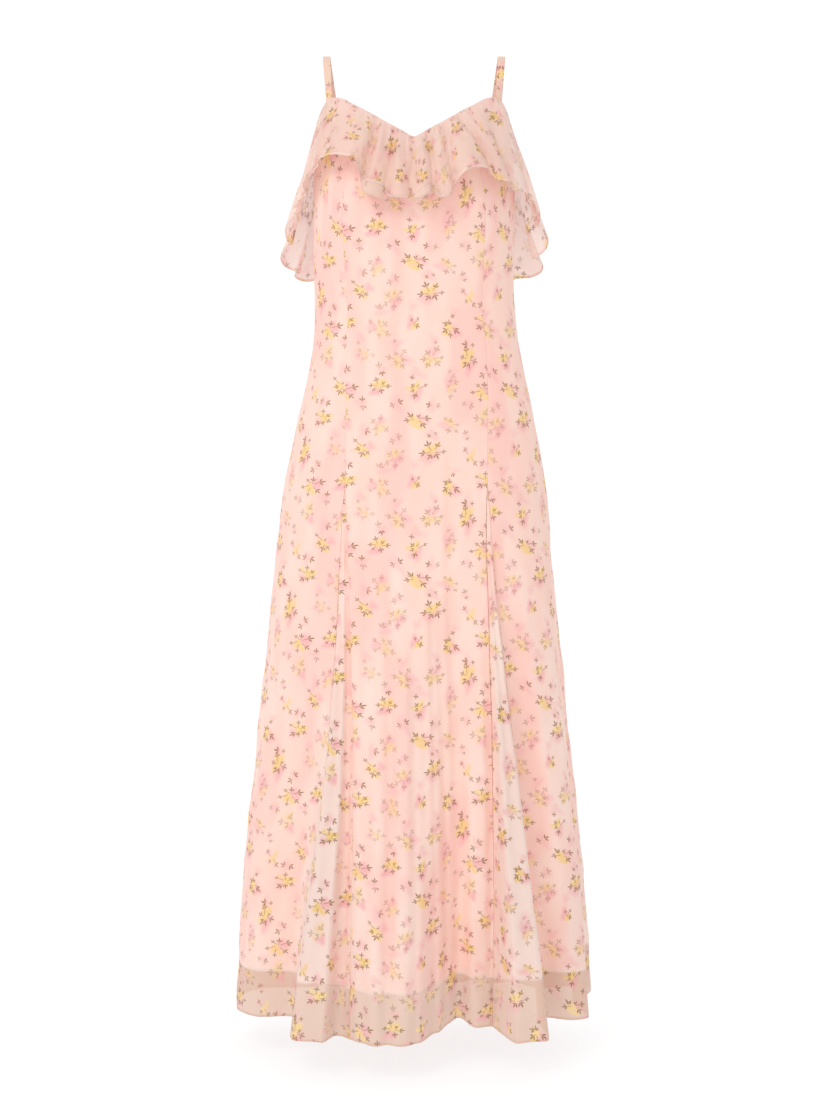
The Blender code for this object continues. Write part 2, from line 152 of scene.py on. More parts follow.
BODY = table("""
height half_width front back squareness shift
-1.352 0.256 0.15 0.142 2.15 0
-1.194 0.2484 0.145 0.138 2.15 0
-1.02 0.231 0.136 0.132 2.15 0
-0.848 0.2123 0.126 0.126 2.15 0
-0.676 0.1938 0.116 0.12 2.2 0
-0.591 0.1842 0.11 0.116 2.2 0.001
-0.506 0.1669 0.102 0.109 2.2 0.003
-0.422 0.1489 0.093 0.095 2.3 0.003
-0.38 0.1424 0.089 0.087 2.3 0.002
-0.34 0.1402 0.09 0.083 2.3 0.001
-0.3 0.1405 0.099 0.085 2.35 0
-0.26 0.141 0.11 0.089 2.4 0
-0.225 0.1415 0.116 0.091 2.4 0
-0.19 0.1408 0.114 0.091 2.4 0
-0.155 0.1392 0.107 0.089 2.5 0
-0.12 0.137 0.094 0.086 2.6 0
-0.085 0.135 0.077 0.082 2.8 0
-0.055 0.1335 0.064 0.078 3 0
""")
SEAMS = table("""
height right left
-1.352 -43.5 51
-0.95 -40 48
-0.61 -44 46
-0.34 -52 52
-0.2 -44 44
-0.055 -44 44
""")
HEM_LINES = (-180, -SIDE_SEAM, -56.0, -31.0, 40.0, 62.0, SIDE_SEAM, 180)
TOP_EDGE = table("""
around height
0 -0.1235
13 -0.1115
26 -0.101
36.5 -0.0918
46.5 -0.0825
55.5 -0.0733
62.5 -0.064
72 -0.064
75 -0.088
79 -0.115
84 -0.145
90 -0.172
97 -0.195
106 -0.209
114 -0.212
126 -0.196
138 -0.196
152 -0.202
180 -0.206
""")

# %% [markdown]
# ## Flutes
# Each panel flares, so the hem is far longer than the hips and hangs in flutes: crests and hollows that
# start at the hip and grow down to the hem. The table has a row for each. The lining is cut narrower and
# fills them less, which is why the crests look paler: there is air behind the chiffon.

# %% Flutes, flounce and strap
FOLDS = table("""
around out lean lift start lining
-163 -0.012 0 0.002 -0.52 -0.014
-146 0.034 0.004 0 -0.52 0.018
-127 -0.016 0 0.003 -0.55 -0.018
-109 0.026 -0.004 0 -0.6 0.012
-92 0 0 0 -0.6 -0.001
-77 -0.018 0 0.002 -0.62 -0.02
-64 -0.044 0.004 0.006 -0.64 -0.046
-48.5 0.036 -0.002 0 -0.62 -0.012
-42.5 0.034 0.006 0 -0.62 -0.012
-37 -0.002 -0.003 0.001 -0.72 -0.014
-31 0.01 0 0 -0.72 0.004
-18 0.039 0 0 -0.6 0.035
-8 0.035 0 0 -0.6 0.031
2 0.02 0 0 -0.66 0.016
12 -0.02 0 0.002 -0.7 -0.024
25 -0.062 0.003 0.01 -0.7 -0.064
34 -0.037 0 0.002 -0.8 -0.05
39.5 -0.041 0.004 0.002 -0.8 -0.052
45 0.042 -0.004 0 -0.62 -0.03
52 0.046 0.006 0 -0.62 -0.026
63 -0.04 0.002 0.005 -0.6 -0.044
79 0.002 0 0 -0.62 -0.008
92 -0.026 0 0.004 -0.66 -0.03
103 0.022 0 0.012 -0.62 0
119 -0.01 0 0.003 -0.6 -0.014
138 0.034 -0.003 0 -0.52 0.018
159 -0.012 0 0.002 -0.52 -0.014
180 0.03 0 0 -0.5 0.015
""")

# How far the lining hangs inside the outer cloth, by height.
LINING_GAP = table("""
height gap
-1.352 0.009
-0.9 0.006
-0.6 0.003
-0.38 0.0016
-0.25 0.0018
-0.055 0.0024
""")

# The flounce over the front, a row for each crest or hollow: metres along the top edge from the centre
# front, how far it hangs down, and how far its hem stands out from the bodice.
FLOUNCE_FRONT = table("""
along drop out
-0.134 0.134 0.014
-0.118 0.116 0.028
-0.106 0.094 0.018
-0.091 0.079 0.032
-0.066 0.065 0.04
-0.056 0.062 0.032
-0.047 0.096 0.012
-0.036 0.107 0.03
-0.022 0.105 0.016
-0.008 0.095 0.034
0.006 0.086 0.018
0.02 0.092 0.034
0.033 0.091 0.016
0.044 0.102 0.032
0.055 0.09 0.016
0.066 0.076 0.038
0.083 0.082 0.034
0.095 0.094 0.018
0.108 0.108 0.03
0.122 0.126 0.014
""")

# The rest of the flounce, by distance along the top edge either way: its drop, and how far its hem stands
# out at a crest and at a hollow.
FLOUNCE_SIDE = table("""
along drop crest hollow
0.108 0.134 0.028 0.014
0.15 0.13 0.024 0.014
0.18 0.12 0.028 0.018
0.21 0.108 0.038 0.024
0.24 0.1 0.046 0.028
0.29 0.098 0.047 0.024
0.36 0.092 0.042 0.02
0.6 0.085 0.034 0.014
""")
FLOUNCE_WAVE = 0.027
FLOUNCE_OPENING = 0.85
FLOUNCE_SEAM = 96.0

# The middle line of the left strap over the shoulder, between its two ends on the top edge, and which
# way its width lies: outwards across the shoulder, and turned to lie along the edge at each end.
STRAP = table("""
step x y height across ahead
1 0.1192 -0.039 -0.03 0.93 0.36
2 0.1212 -0.023 -0.007 0.98 0.15
3 0.122 0 -0.0008 1 0
4 0.1215 0.019 -0.0085 0.99 -0.1
5 0.117 0.041 -0.042 0.95 -0.3
6 0.1085 0.062 -0.1 0.9 -0.45
7 0.1 0.0745 -0.158 0.83 -0.55
""")
STRAP_FRONT = 68.3
STRAP_BACK = 131.5


# %% [markdown]
# ## The surface of the dress
# The body is a stack of rounded ovals. A point on it has two parameters, a place round the dress and a
# height, so every panel is a patch of one function, cut along lines of constant place.

# %% Where a place round the hem lies round the body
def seam_lines(height):
    """Degrees round the body of each line of HEM_LINES. A godet narrows to a point at the hip."""
    down = np.clip((GODET_TOP - height) / (GODET_TOP - HEM), 0, 1)
    tip = GODET_TIP * np.clip((GODET_MEET - height) / (GODET_MEET - GODET_TOP), 0, 1)
    right, left = curve(SEAMS, "right", height), curve(SEAMS, "left", height)
    right_half = (tip + (GODET_RIGHT - GODET_TIP) * down) / 2
    left_half = (tip + (GODET_LEFT - GODET_TIP) * down) / 2
    seams = (right - right_half, right + right_half, left - left_half, left + left_half)
    return (-180, -SIDE_SEAM, *seams, SIDE_SEAM, 180)


def in_proportion(value, lines, other_lines):
    """A place between two of the first lines, carried to the same share between the other lines."""
    value = wrapped(value)
    place = np.full_like(value, -180.0)
    for first, last, start, end in zip(lines, lines[1:], other_lines, other_lines[1:]):
        place = place + (end - start) * np.clip((value - first) / np.maximum(last - first, TINY), 0, 1)
    return place


def body_angle(around, height):
    """Degrees round the body of a place on the cloth."""
    return in_proportion(around, HEM_LINES, seam_lines(height))


def yoke_angle(around):
    """Degrees round the bodice of a place on the outer cloth."""
    return body_angle(around, np.full_like(around, YOKE))


def top_edge(angle):
    """Height of the top edge at these degrees round the bodice: the mean of three near readings."""
    height = 0
    for aside in (-EDGE_SOFT, 0, EDGE_SOFT):
        from_front = np.abs(wrapped(angle + aside))
        height = height + np.interp(from_front, TOP_EDGE["around"], TOP_EDGE["height"]) / 3
    return height


# %% The body's rings, the bust and the flutes
def body_point(angle, height):
    """A rounded oval ring.

    The distance out at an angle is (across over half width, to a power) plus (ahead over depth, to
    the same power), all to the power minus one over it. A power of 2 is an oval.
    """
    turn = np.radians(angle)
    across, ahead = np.sin(turn), np.cos(turn)
    depth = np.where(ahead > 0, curve(BODY, "front", height), curve(BODY, "back", height))
    power = curve(BODY, "squareness", height)
    wide = np.abs(across) / curve(BODY, "half_width", height)
    deep = np.abs(ahead) / depth
    reach = (wide**power + deep**power) ** (-1 / power)
    return np.stack([reach * across + curve(BODY, "shift", height), -reach * ahead, height], axis=-1)


def grown(start, height):
    """0 where a flute starts, 1 at the hem: the share of the way down, to a power just over 1."""
    return np.clip((start - height) / (start - HEM), 0, 1) ** FLUTE_GROWTH


def fold(column, around, height):
    """How far the flutes move the cloth: eased from row to row round the hem, each grown by height."""
    turn = np.concatenate([FOLDS["around"] - 360, FOLDS["around"], FOLDS["around"] + 360])
    size = np.tile(FOLDS[column], 3)
    start = np.tile(FOLDS["start"], 3)
    row = np.clip(np.searchsorted(turn, around, side="right") - 1, 0, len(turn) - 2)
    share = smooth_step((around - turn[row]) / (turn[row + 1] - turn[row]))
    here = size[row] * grown(start[row], height)
    there = size[row + 1] * grown(start[row + 1], height)
    return (1 - share) * here + share * there


def bust(angle, height):
    """Two soft cups, from the princess seams: a bell curve round the body times one up and down."""
    round_it = np.exp(-(((np.abs(angle) - BUST_AROUND) / BUST_SPREAD) ** 2))
    return BUST_OUT * round_it * np.exp(-(((height - BUST_HEIGHT) / BUST_TALL) ** 2))


def cloth_point(around, height, out="out", inset=0.0):
    """A place on the dress: the body's ring, moved out and along by the bust and the flutes."""
    angle = body_angle(around, height)
    place = body_point(angle, height)
    along = unit(body_point(angle + NUDGE, height) - body_point(angle - NUDGE, height))
    outward = np.stack([along[..., 1], -along[..., 0], 0 * height], axis=-1)
    place = place + outward * (bust(angle, height) + fold(out, around, height) - inset)[..., None]
    place = place + along * fold("lean", around, height)[..., None]
    place[..., 2] += fold("lift", around, height)
    return place


# %% [markdown]
# ## Creases
# Each main crease is listed one by one, a soft ridge or trough with its own length, width, depth and
# slant: a bell curve across it, and an eased rise and fall along it. Finer unevenness is a sum of slow
# waves.

# %% Creases of the skirt and bodice
CREASES = table("""
around start end width depth drift
-150 -0.5 -1.8 5 0.004 6
-118 -0.62 -1.8 4.5 -0.0035 -4
-84 -0.34 -1.05 5 -0.002 2
-80 -0.55 -1.8 3.5 0.005 0
-70 -0.6 -1.8 4 -0.004 2
-61 -0.7 -1.3 2.6 0.003 0
-52 -0.7 -1.8 2.4 0.0035 1
-45 -0.66 -1.8 1.8 -0.004 1
-39 -0.62 -1.8 1.6 0.0028 0
-34 -0.62 -1.8 1.5 -0.0034 0
-28 -0.55 -1.8 2.4 0.005 1
-22 -0.4 -0.98 4 -0.0018 2
-13 -0.66 -1.8 3.2 -0.008 -3
-3 -0.5 -1.8 3.4 0.0056 2
4 -0.35 -0.9 4.5 0.0014 -2
9 -0.6 -1.3 2.4 0.0046 1
17 -0.66 -1.8 2.2 -0.0058 2
22 -0.45 -1.1 2.6 -0.004 1
30 -0.78 -1.8 1.7 0.004 0
36 -0.7 -1.34 1.6 0.003 1
49 -0.6 -1.8 2 -0.004 1
58 -0.54 -1.8 2.2 -0.007 0
71 -0.56 -1.8 3.2 0.0064 2
84 -0.52 -1.8 3.4 -0.0044 2
97 -0.6 -1.34 3.2 0.004 0
126 -0.56 -1.8 4.2 0.0036 -3
147 -0.44 -1.24 4.5 -0.003 3
168 -0.52 -1.8 4 0.0034 -2
-168 -0.58 -1.8 4.2 -0.0032 3
-60 -0.235 -0.42 9 0.0012 12
-66 -0.29 -0.4 6 -0.0012 20
58 -0.235 -0.42 9 0.0012 -12
70 -0.29 -0.41 6 -0.0013 -20
150 -0.3 -0.46 9 -0.0014 14
-150 -0.3 -0.47 9 -0.0014 -14
""")
WAVES = table("""
size round_turns down_turns phase
0.0006 9 5 0.3
0.0005 14 -7 1.9
0.0004 23 11 4
0.0003 37 -16 2.6
""")

CREASE_RISES = 0.35
CREASE_FALLS = 0.3
CLOSE_WAVES = 0.35
LOOSE_FROM = -0.3
LOOSE_OVER = 0.6
PRINCESS_SEAMS = HEM_LINES[2:6]
SEAM_SMOOTH = 5.0
SEAM_FADE = 0.04


def creases(around, height):
    """The creases' bell curves added up, and a few slow waves that are weaker on the close bodice.

    Above the godets two places on the hem meet in one princess seam, so all of it dies away there.
    """
    moved = np.zeros_like(around)
    for place, start, end, width, depth, drift in rows(CREASES):
        share = (start - height) / (start - end)
        rise = smooth_step(share / CREASE_RISES) * smooth_step((1 - share) / CREASE_FALLS)
        off = wrapped(around - place - drift * (share - 0.5))
        moved += depth * rise * np.exp(-((off / width) ** 2))
    loose = CLOSE_WAVES + (1 - CLOSE_WAVES) * smooth_step((LOOSE_FROM - height) / LOOSE_OVER)
    for size, round_turns, down_turns, phase in rows(WAVES):
        wave = np.sin(np.radians(around) * round_turns + 2 * np.pi * down_turns * height + phase)
        moved += size * loose * wave
    above_godets = smooth_step((height - GODET_MEET + SEAM_FADE) / SEAM_FADE)
    for seam in PRINCESS_SEAMS:
        off = wrapped(around - seam)
        moved *= 1 - above_godets * np.exp(-((off / SEAM_SMOOTH) ** 2))
    return moved


# %% [markdown]
# ## The print
# The print is a repeat of scattered sprigs: a yellow bloom, a rose one, and tiny brown leaves. A cell
# texture could scatter them, but a listed chart is nearer to how a repeat is designed, and costs nothing to
# render. Each face looks up its nearest sprig in the chart, and its corners store where they lie on it.
# The material then draws one sprig.

# %% The chart of the repeat, in millimetres and degrees
REPEAT = np.array([196.0, 218.0])
MOTIF_SCALE = 1.52
MOTIF_LONG = 1.14
SPRIGS = table("""
across down turn size
12 8 20 1
58 14 200 0.86
108 5 95 1
158 16 310 0.8
36 52 150 1.05
86 58 260 0.78
134 47 15 1
180 58 120 0.9
8 97 285 0.76
60 99 60 1.05
110 93 175 0.92
158 101 240 1
34 141 330 0.98
84 144 110 1
137 138 205 0.74
184 143 35 1.04
12 184 130 0.9
59 182 300 0.82
106 187 10 1.06
157 180 160 0.88
""")
SPRAYS = table("""
across down turn size
35 28 40 1
83 30 160 0.9
133 24 280 1.1
181 34 75 0.9
13 72 190 1
62 78 330 0.9
111 70 120 1
159 76 20 1.1
35 119 255 0.9
86 121 90 1
134 117 215 1
181 121 310 0.9
10 162 15 1.1
60 164 140 0.9
110 160 235 1
160 158 345 1
36 206 100 0.9
84 208 290 1
133 205 180 1
182 204 60 1.1
""")


def on_nearest(chart, corners):
    """Where each corner of each face lies on its face's nearest motif of a repeating chart.

    Offsets from a motif are wrapped to the nearest repeat. The motif with the shortest offset at the
    face's middle wins. The corners' offsets from it are turned back by its own turn and divided by its
    size. The third number is the motif's own number.
    """
    middle = corners.mean(axis=1)
    places = np.stack([chart["across"], chart["down"]], axis=-1)
    offset = wrapped(middle[:, None] - places[None], REPEAT)
    nearest = np.argmin(np.linalg.norm(offset, axis=-1), axis=1)
    start = middle - offset[np.arange(len(middle)), nearest]
    local = corners - start[:, None]
    turn = np.radians(chart["turn"])[nearest][:, None]
    x = (local[..., 0] * np.cos(turn) + local[..., 1] * np.sin(turn)) / MOTIF_LONG
    y = (local[..., 1] * np.cos(turn) - local[..., 0] * np.sin(turn)) * MOTIF_LONG
    size = MOTIF_SCALE * chart["size"][nearest][:, None]
    return np.stack([x / size, y / size, np.broadcast_to(nearest[:, None], x.shape)], axis=-1)


print(len(SPRIGS["turn"]), "sprigs and", len(SPRAYS["turn"]), "sprays in a repeat of", REPEAT, "mm")

# %% [markdown]
# ## From a grid to a mesh
# A grid of points becomes rows of four-cornered faces. A seam or a hem turns the cloth's edge in, and
# that double strip shows in sheer cloth. So the last lines of a grid can be repeated in reverse, a little
# way behind it.

# %% Grids
ROUND, DOWN = 0, 1
TURNED = 3
TURN_BEHIND = 0.0006
FAR = 99.0


def faces_outward(grid):
    """Which way the cloth faces: across the way down and the way to the left."""
    left = np.gradient(grid, axis=0)
    down = np.gradient(grid, axis=1)
    return unit(np.cross(down, left))


def turned_in(grids, axis):
    """The cloth with its last edge folded back: copies of the lines there, in reverse, moved in.

    The first of the grids holds the points. The others hold what lies on them, and go with them.
    """
    points = grids[0]
    behind = (points - TURN_BEHIND * faces_outward(points), *grids[1:])
    backs = [np.flip(np.take(grid, range(-1 - TURNED, 0), axis), axis) for grid in behind]
    return [np.concatenate(pair, axis) for pair in zip(grids, backs)]


def laid_flat(grid):
    """The cloth laid flat, in millimetres: across is the length along each row from its middle column,
    and down is the mean length down the columns."""
    across = walked(grid)
    across -= across[len(across) // 2]
    drops = np.linalg.norm(np.diff(grid, axis=1), axis=-1).mean(axis=0)
    down = np.broadcast_to(np.concatenate([[0], np.cumsum(drops)]), across.shape)
    return np.stack([across, down], axis=-1) * 1000


def cloth_mesh(name, grid, flat, marks, cut_from):
    """Puts a grid into a mesh, each face down, then left, then up, with the print and marks stored."""
    wide, tall = grid.shape[:2]
    number = np.arange(wide * tall).reshape(wide, tall)
    quads = np.stack([number[:-1, :-1], number[:-1, 1:], number[1:, 1:], number[1:, :-1]], -1)
    quads = quads.reshape(-1, 4)
    mesh = bpy.data.meshes.new(name)
    mesh.vertices.add(wide * tall)
    mesh.vertices.foreach_set("co", grid.reshape(-1))
    mesh.loops.add(quads.size)
    mesh.loops.foreach_set("vertex_index", quads.reshape(-1))
    mesh.polygons.add(len(quads))
    mesh.polygons.foreach_set("loop_start", np.arange(0, quads.size, 4))
    mesh.update(calc_edges=True)
    mesh.shade_smooth()
    corners = (flat.reshape(-1, 2) + cut_from)[quads]
    for attribute, chart in (("sprig", SPRIGS), ("spray", SPRAYS)):
        layer = mesh.attributes.new(attribute, "FLOAT_VECTOR", "CORNER")
        layer.data.foreach_set("vector", on_nearest(chart, corners).reshape(-1))
    layer = mesh.attributes.new("marks", "FLOAT_VECTOR", "POINT")
    layer.data.foreach_set("vector", marks.reshape(-1))
    weave = mesh.uv_layers.new(name="weave")
    weave.uv.foreach_set("vector", corners.reshape(-1))
    return put_in(name, mesh)


# %% [markdown]
# ## Materials
# A finish is built from sums and products of masks. A small class makes that readable: it wraps a node's
# output, and each sum or product written on it adds the Math node that does it.

# %% A class for shader sums
class Value:
    """One output of a node. Arithmetic on it adds Math nodes."""

    def __init__(self, dye, socket):
        self.dye, self.socket = dye, socket

    def maths(self, operation, *others):
        inputs = dict(enumerate((self, *others)))
        return self.dye.node("ShaderNodeMath", {"operation": operation}, inputs)

    def __add__(self, other):
        return self.maths("ADD", other)

    def __sub__(self, other):
        return self.maths("SUBTRACT", other)

    def __rsub__(self, other):
        return self.dye.node("ShaderNodeMath", {"operation": "SUBTRACT"}, {0: other, 1: self})

    def __mul__(self, other):
        return self.maths("MULTIPLY", other)

    def __truediv__(self, other):
        return self.maths("DIVIDE", other)

    __radd__ = __add__
    __rmul__ = __mul__


class Dye:
    """A material's nodes, each added by one method."""

    def __init__(self, name):
        self.material = bpy.data.materials.new(name)
        self.material.use_nodes = True
        self.nodes = self.material.node_tree.nodes
        self.links = self.material.node_tree.links
        self.shader = self.nodes["Principled BSDF"]

    def node(self, kind, settings=None, inputs=None, output=0):
        """Adds a node: its settings first, then the values or links of its sockets."""
        added = self.nodes.new(kind)
        for setting, value in (settings or {}).items():
            setattr(added, setting, value)
        for socket, value in (inputs or {}).items():
            self.feed(added.inputs[socket], value)
        return Value(self, added.outputs[output])

    def feed(self, socket, value):
        if isinstance(value, Value):
            self.links.new(value.socket, socket)
        else:
            socket.default_value = value

    def finish(self, **sockets):
        """Values or links of the Principled shader's own sockets, named with underscores."""
        for name, value in sockets.items():
            self.feed(self.shader.inputs[name.replace("_", " ")], value)
        return self.material

    def parts(self, vector):
        """The three numbers of a vector."""
        split = self.node("ShaderNodeSeparateXYZ", inputs={0: vector}).socket.node
        return [Value(self, socket) for socket in split.outputs]

    def attribute(self, name):
        settings = {"attribute_name": name}
        return self.node("ShaderNodeAttribute", settings, output="Vector")

    def step(self, value, start, end):
        """0 below start and 1 above end, eased between them."""
        inputs = {"Value": value, "From Min": start, "From Max": end}
        return self.node("ShaderNodeMapRange", {"interpolation_type": "SMOOTHSTEP"}, inputs)

    def inside(self, value, limit, soft):
        """1 where a distance is under a limit, with a soft edge."""
        return 1 - self.step(value, limit - soft, limit + soft)

    def mix(self, share, first, second):
        """One colour over another, by a mask."""
        inputs = {0: share, 6: first, 7: second}
        return self.node("ShaderNodeMix", {"data_type": "RGBA"}, inputs, output=2)

    def noise(self, where, scale, detail=0.0):
        """Soft unevenness over the cloth laid flat."""
        inputs = {"Vector": where, "Scale": scale, "Detail": detail}
        return self.node("ShaderNodeTexNoise", {"noise_dimensions": "2D"}, inputs, output="Fac")

    def chances(self, *numbers):
        """Three numbers from 0 to 1 that depend only on the numbers given."""
        vector = self.node("ShaderNodeCombineXYZ", inputs=dict(enumerate(numbers)))
        settings = {"noise_dimensions": "3D"}
        return self.parts(self.node("ShaderNodeTexWhiteNoise", settings, {"Vector": vector}, "Color"))


def colour(red, green, blue):
    """A colour as it is seen, from 0 to 255, turned into the light that a shader works in."""
    seen = np.array([red, green, blue]) / 255
    light = np.where(seen <= 0.04045, seen / 12.92, ((seen + 0.055) / 1.055) ** 2.4)
    return (*light.tolist(), 1.0)


# %% [markdown]
# ## One sprig
# Each sprig has soft blooms, and tiny leaves in threes on thin stems. The leaves could be listed one by
# one. Instead the space round the sprig's middle is cut into equal slices, with one trio in each at its
# own chance distance and size, so no two sprigs are alike and the node tree stays small.

# %% Leaves and blooms
LEAF_FAN = 0.78
LEAF_MIDDLE = 2.7
LEAF_LENGTH = 2.1
LEAF_WIDTH = 0.56
SIDE_LEAF_SHORTER = 0.28
TRIO_WANDER = 3.0
TRIO_LEAN = 0.5
LEAF_SOFT = 0.42
STEM_WIDTH = 0.34
STEM_SOFT = 0.24
STEM_STRENGTH = 0.72
BLOOM_WANDER = 3.4
PETAL_SWELL = 0.24

YELLOW = colour(247, 209, 130)
PETAL_ROSE = colour(245, 170, 176)
BLUSH = colour(250, 192, 184)
LEAF_OLIVE = colour(130, 98, 34)
LEAF_PLUM = colour(146, 96, 52)
BARE = colour(229, 195, 176)
AIRY = colour(251, 226, 215)
PEACH = colour(252, 212, 198)
SHADE_ROSE = colour(250, 184, 168)
LINING_PINK = colour(252, 196, 180)
SEAM_SHADE_ROSE = colour(226, 152, 134)


def trios(dye, place, slices, nearest, furthest, keep, seed):
    """A mask of leaf trios and their stems round a motif's middle.

    The angle is cut into slices, with a trio at a chance distance in each. Its own angle is folded into
    three fans, and a leaf is where the ellipse sum along and across a fan is under one.
    """
    x, y, number = dye.parts(place)
    turn = (y.maths("ARCTAN2", x) / (2 * np.pi) + 0.5) * slices
    piece = turn.maths("FLOOR")
    off = (turn - piece - 0.5) * (2 * np.pi / slices)
    out = (x * x + y * y).maths("SQRT")
    first, second, third = dye.chances(piece, number, seed)
    stand = first * (furthest - nearest) + nearest
    along = out * off.maths("COSINE") - stand
    across = out * off.maths("SINE") + (second - 0.5) * TRIO_WANDER
    reach = (along * along + across * across).maths("SQRT") / (0.7 + 0.6 * second)
    lean = across.maths("ARCTAN2", along) / LEAF_FAN + (third - 0.5) * TRIO_LEAN
    leaf_number = lean.maths("ROUND").maths("MINIMUM", 1.0).maths("MAXIMUM", -1.0)
    fan = (lean - leaf_number) * LEAF_FAN
    long = 1 - SIDE_LEAF_SHORTER * leaf_number.maths("ABSOLUTE")
    down = (reach * fan.maths("COSINE") / long - LEAF_MIDDLE) / LEAF_LENGTH
    side = (reach * fan.maths("SINE")) / LEAF_WIDTH
    leaf = dye.inside((down * down + side * side).maths("SQRT"), 0.95, LEAF_SOFT)
    stem = dye.inside(across.maths("ABSOLUTE"), STEM_WIDTH, STEM_SOFT) * dye.inside(along, 0.6, 0.4)
    stem = stem * dye.step(out, 1.5, 3.0) * STEM_STRENGTH
    return leaf.maths("MAXIMUM", stem) * third.maths("LESS_THAN", keep)


def bloom(dye, place, middle, radius, soft, lobes, seed):
    """A mask of one soft bloom: an oval, longer one way by chance, that swells once for each petal."""
    x, y, number = dye.parts(place)
    first, second, third = dye.chances(number, seed, 5.0)
    x = (x - middle[0] + (first - 0.5) * BLOOM_WANDER) * (0.62 + 0.6 * third)
    y = y - middle[1] + (second - 0.5) * BLOOM_WANDER
    petals = (y.maths("ARCTAN2", x) * lobes + number).maths("COSINE")
    swell = (1 + PETAL_SWELL * petals) * (0.8 + 0.4 * first) * radius
    out = (x * x + y * y).maths("SQRT")
    return dye.inside(out - swell, 0.0, soft)


def printed(dye, ground, strength):
    """The print laid over a ground colour, and a mask of where it is darkest."""
    sprig, spray = dye.attribute("sprig"), dye.attribute("spray")
    first, second, third = dye.chances(dye.parts(sprig)[2], 2.0, 9.0)
    faded = 0.5 + 0.5 * dye.step(first, 0.05, 0.7)
    rose = bloom(dye, sprig, middle=(4.6, -3.4), radius=4.8, soft=3.2, lobes=3, seed=1.0)
    yellow = bloom(dye, sprig, middle=(-2.0, 1.4), radius=4.3, soft=2.3, lobes=3, seed=2.0)
    bud = bloom(dye, sprig, middle=(3.4, 5.6), radius=2.4, soft=1.8, lobes=2, seed=3.0)
    blush = bloom(dye, spray, middle=(1.0, 1.0), radius=3.8, soft=3.4, lobes=3, seed=4.0)
    leaves = trios(dye, sprig, slices=6, nearest=1.2, furthest=8.8, keep=0.9, seed=11.0)
    bits = trios(dye, spray, slices=2, nearest=0.6, furthest=4.0, keep=0.8, seed=23.0)
    ground = dye.mix(blush * 0.35 * strength, ground, PETAL_ROSE)
    ground = dye.mix(rose * (0.35 + 0.4 * second) * strength, ground, PETAL_ROSE)
    ground = dye.mix(yellow.maths("MAXIMUM", bud) * 0.8 * faded * strength, ground, YELLOW)
    leaf = leaves.maths("MAXIMUM", bits) * faded * strength
    brown = dye.mix(third, LEAF_OLIVE, LEAF_PLUM)
    return dye.mix(leaf * 0.86, ground, brown), leaf


# %% [markdown]
# ## Chiffon and lining
# The chiffon's ground follows how close the lining hangs behind it: rosy where the two touch, pale where
# there is air between them, and greyer with no lining. The deeper rose in the hollows of flutes and creases
# is painted shade, and so is the thin rose line along each seam and strap edge. The flounce's sides are
# painted paler: painted light in place of light that comes through the cloth. Sheerness is the shader's
# Alpha. A glass or translucent shader could do it too, but thin cloth is mostly holes between threads,
# which is what Alpha means. Where the lining touches, it lets nothing more through. The crepe grain is a
# very fine noise, as a bump.

# %% Cloth finishes, in millimetres on the cloth
CLOUD_SCALE = 0.035
ROSY_SCALE = 0.017
SLOW_SCALE = 0.02
CREPE_SCALE = 1.1
GRAIN_SCALE = 1.3
GRAIN_DEPTH = 0.0002
HEM_WIDTH = 3.0
HEM_STITCH = 2.4
LINING_STITCH = 14.0
SHEER = 0.88
SHEER_FLOUNCE = 0.68


def chiffon(name, sheer):
    """Printed chiffon. Marks: how near the lining is, with painted shade and light; millimetres to a seam,
    and to the hem.
    """
    dye = Dye(name)
    near_and_shading, seam, hem = dye.parts(dye.attribute("marks"))
    weave = dye.node("ShaderNodeUVMap", {"uv_map": "weave"})
    drawn_out = dye.node("ShaderNodeVectorMath", {"operation": "MULTIPLY"}, {0: weave, 1: (1, 0.3, 1)})
    cloud = dye.step(dye.noise(drawn_out, CLOUD_SCALE, 1.0), 0.35, 0.68)
    ground = dye.mix(dye.step(near_and_shading, 0.0, 0.3), BARE, AIRY)
    ground = dye.mix(dye.step(near_and_shading * (0.7 + 0.3 * cloud), 0.15, 0.9), ground, PEACH)
    rosy = dye.step(dye.noise(drawn_out, ROSY_SCALE, 1.0), 0.44, 0.64) * dye.step(near_and_shading, 0.3, 0.9)
    ground = dye.mix(rosy * 0.42, ground, BLUSH)
    # Painted shade: where hollows push the mark over 1, the ground turns a deeper rose.
    ground = dye.mix(dye.step(near_and_shading, 0.9, 1.7), ground, SHADE_ROSE)
    doubled = dye.inside(hem, HEM_WIDTH, 0.3).maths("MAXIMUM", dye.inside(seam, 0.7, 0.5) * 0.6)
    tone, leaf = printed(dye, ground, 1.16 - 0.16 * dye.step(near_and_shading, 0.3, 0.9) - 0.25 * doubled)
    # Painted shade: a thin rose line along seams and the straps' folded edges, stronger towards the hem.
    seam_shade = dye.inside(hem, 560.0, 400.0) * 0.36
    tone = dye.mix(dye.inside(seam, 0.55, 0.4) * seam_shade, tone, SEAM_SHADE_ROSE)
    crepe = dye.noise(weave, CREPE_SCALE)
    stitch = dye.inside((hem - HEM_STITCH).maths("ABSOLUTE"), 0.2, 0.2)
    height = crepe * 0.6 - stitch * 0.8
    inputs = {"Strength": 0.35, "Distance": GRAIN_DEPTH, "Height": height}
    bump = dye.node("ShaderNodeBump", inputs=inputs)
    lined = dye.step(near_and_shading, 0.3, 0.75)
    solid = lined.maths("MAXIMUM", 0.6 * leaf).maths("MAXIMUM", 0.45 * doubled)
    cover = sheer + (1 - sheer) * solid
    return dye.finish(
        Base_Color=tone,
        Roughness=0.76,
        Normal=bump,
        Alpha=cover,
        Sheen_Weight=0.12,
        Sheen_Roughness=0.5,
        Specular_IOR_Level=0.25,
    )


